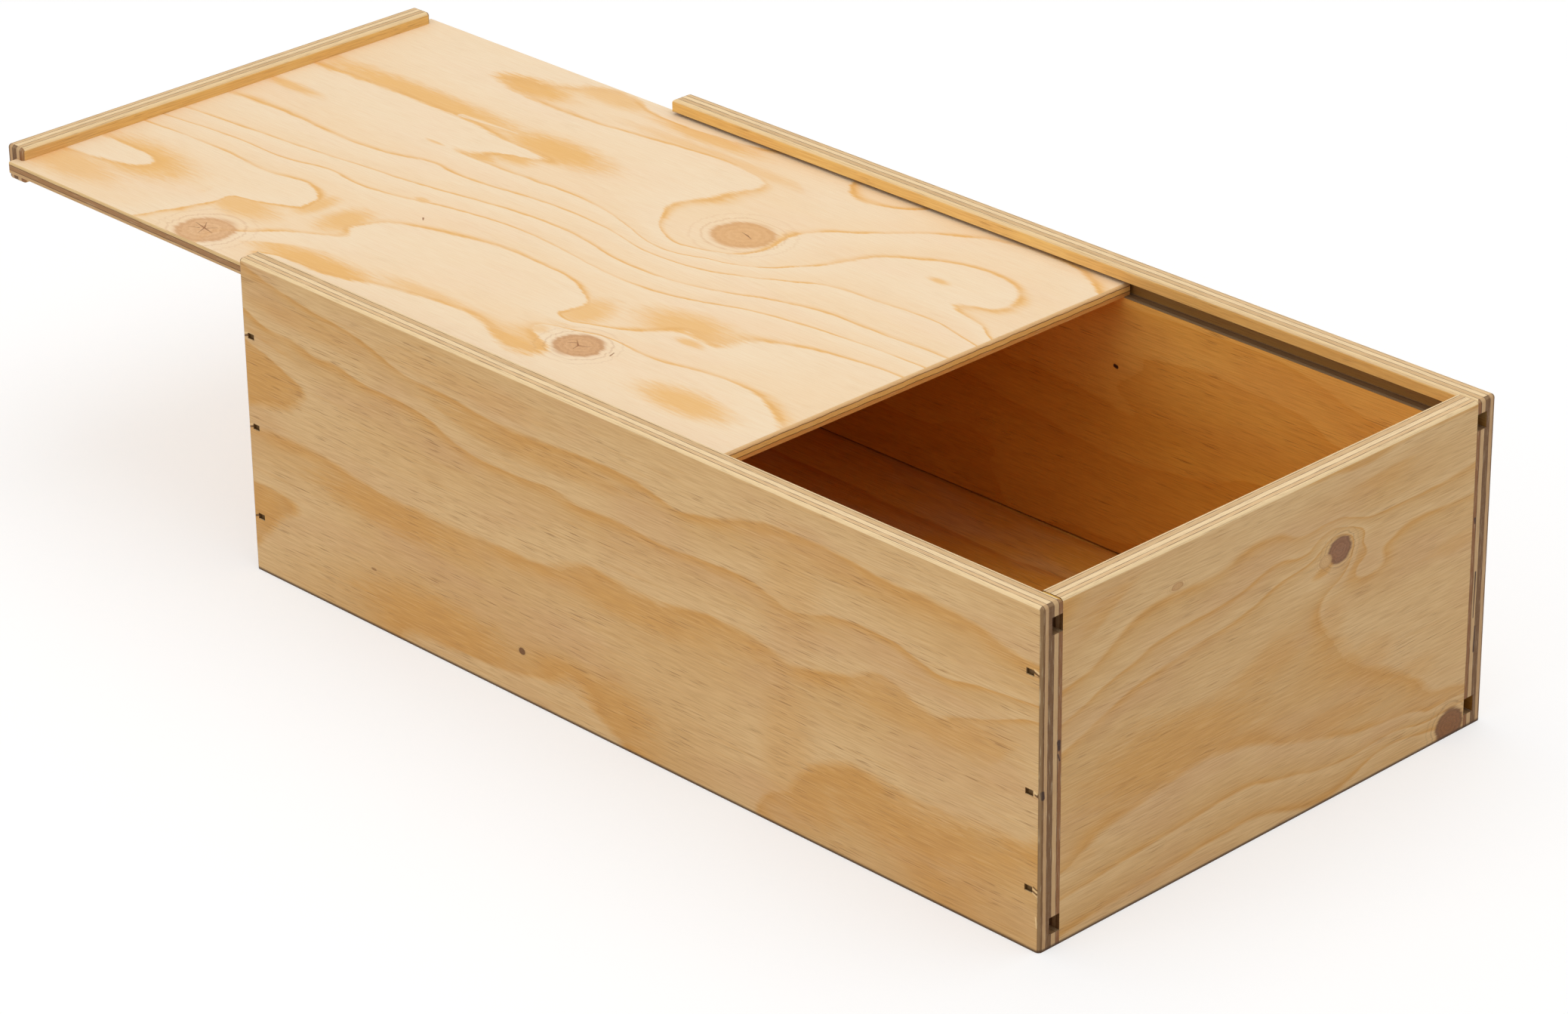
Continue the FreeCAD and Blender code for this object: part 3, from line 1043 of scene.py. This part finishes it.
def make_floor():
    """A plain floor that the camera sees as white and that keeps the box's shadow."""
    mesh = bpy.data.meshes.new("floor")
    corners = [(-floor_reach, -floor_reach), (floor_reach, -floor_reach)]
    corners += [(floor_reach, floor_reach), (-floor_reach, floor_reach)]
    mesh.from_pydata([(x, y, 0) for x, y in corners], [], [(0, 1, 2, 3)])
    floor = bpy.data.objects.new("floor", mesh)
    scene.collection.objects.link(floor)
    graph = Finish("floor")
    seen = seen_ray(graph)
    tone = graph.rise(seen, 0.0, 1.0, floor_tone, floor_seen_tone)
    graph.put(graph.shader.inputs["Base Color"], tone)
    graph.shader.inputs["Roughness"].default_value = floor_roughness
    graph.shader.inputs["Specular IOR Level"].default_value = floor_gloss
    glow = graph.add("Emission", {"Strength": graph.math("MULTIPLY", seen, floor_lift)})
    both = graph.add("AddShader", {0: graph.shader.outputs[0], 1: glow})
    graph.put(graph.tree.nodes["Material Output"].inputs["Surface"], both)
    mesh.materials.append(graph.material)


def glue_bead(name, side, material):
    """A lumpy bead along the top of a front corner joint, riding on the box."""
    lumps = random.Random(bead_seed + side)
    start = front_inner + bead_margin
    end = front - bead_margin
    mesh = bmesh.new()
    loops = []
    for step in range(bead_rings):
        share = step / (bead_rings - 1)
        x = start + share * (end - start)
        swell = math.sin(math.pi * share) ** bead_taper + bead_tip
        radius = bead_radius * swell * lumps.uniform(*bead_swell)
        loop = []
        for turn in range(bead_sides):
            angle = 2 * math.pi * turn / bead_sides
            y = side * (bead_place[0] + radius * math.cos(angle) * bead_width)
            z = bead_place[1] + radius * math.sin(angle)
            loop.append(mesh.verts.new((x / metre, y / metre, z / metre)))
        loops.append(loop)
    for first, second in zip(loops, loops[1:]):
        for turn in range(bead_sides):
            after = (turn + 1) % bead_sides
            mesh.faces.new((first[turn], first[after], second[after], second[turn]))
    mesh.faces.new(reversed(loops[0]))
    mesh.faces.new(loops[-1])
    bmesh.ops.recalc_face_normals(mesh, faces=mesh.faces)
    data = bpy.data.meshes.new(name)
    mesh.to_mesh(data)
    mesh.free()
    for face in data.polygons:
        face.use_smooth = True
    data.materials.append(material)
    bead = bpy.data.objects.new(name, data)
    scene.collection.objects.link(bead)
    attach(bead, "box")


scene.view_settings.view_transform = "Standard"
make_camera()
make_world()
soft_lamp("key_lamp", key_place, key_watts)
soft_lamp("fill_lamp", fill_place, fill_watts)
make_floor()
dress_nodes()
glue = mottled("dried_glue", glue_look)
glue_bead("glue_bead_near", -1, glue)
glue_bead("glue_bead_far", 1, glue)
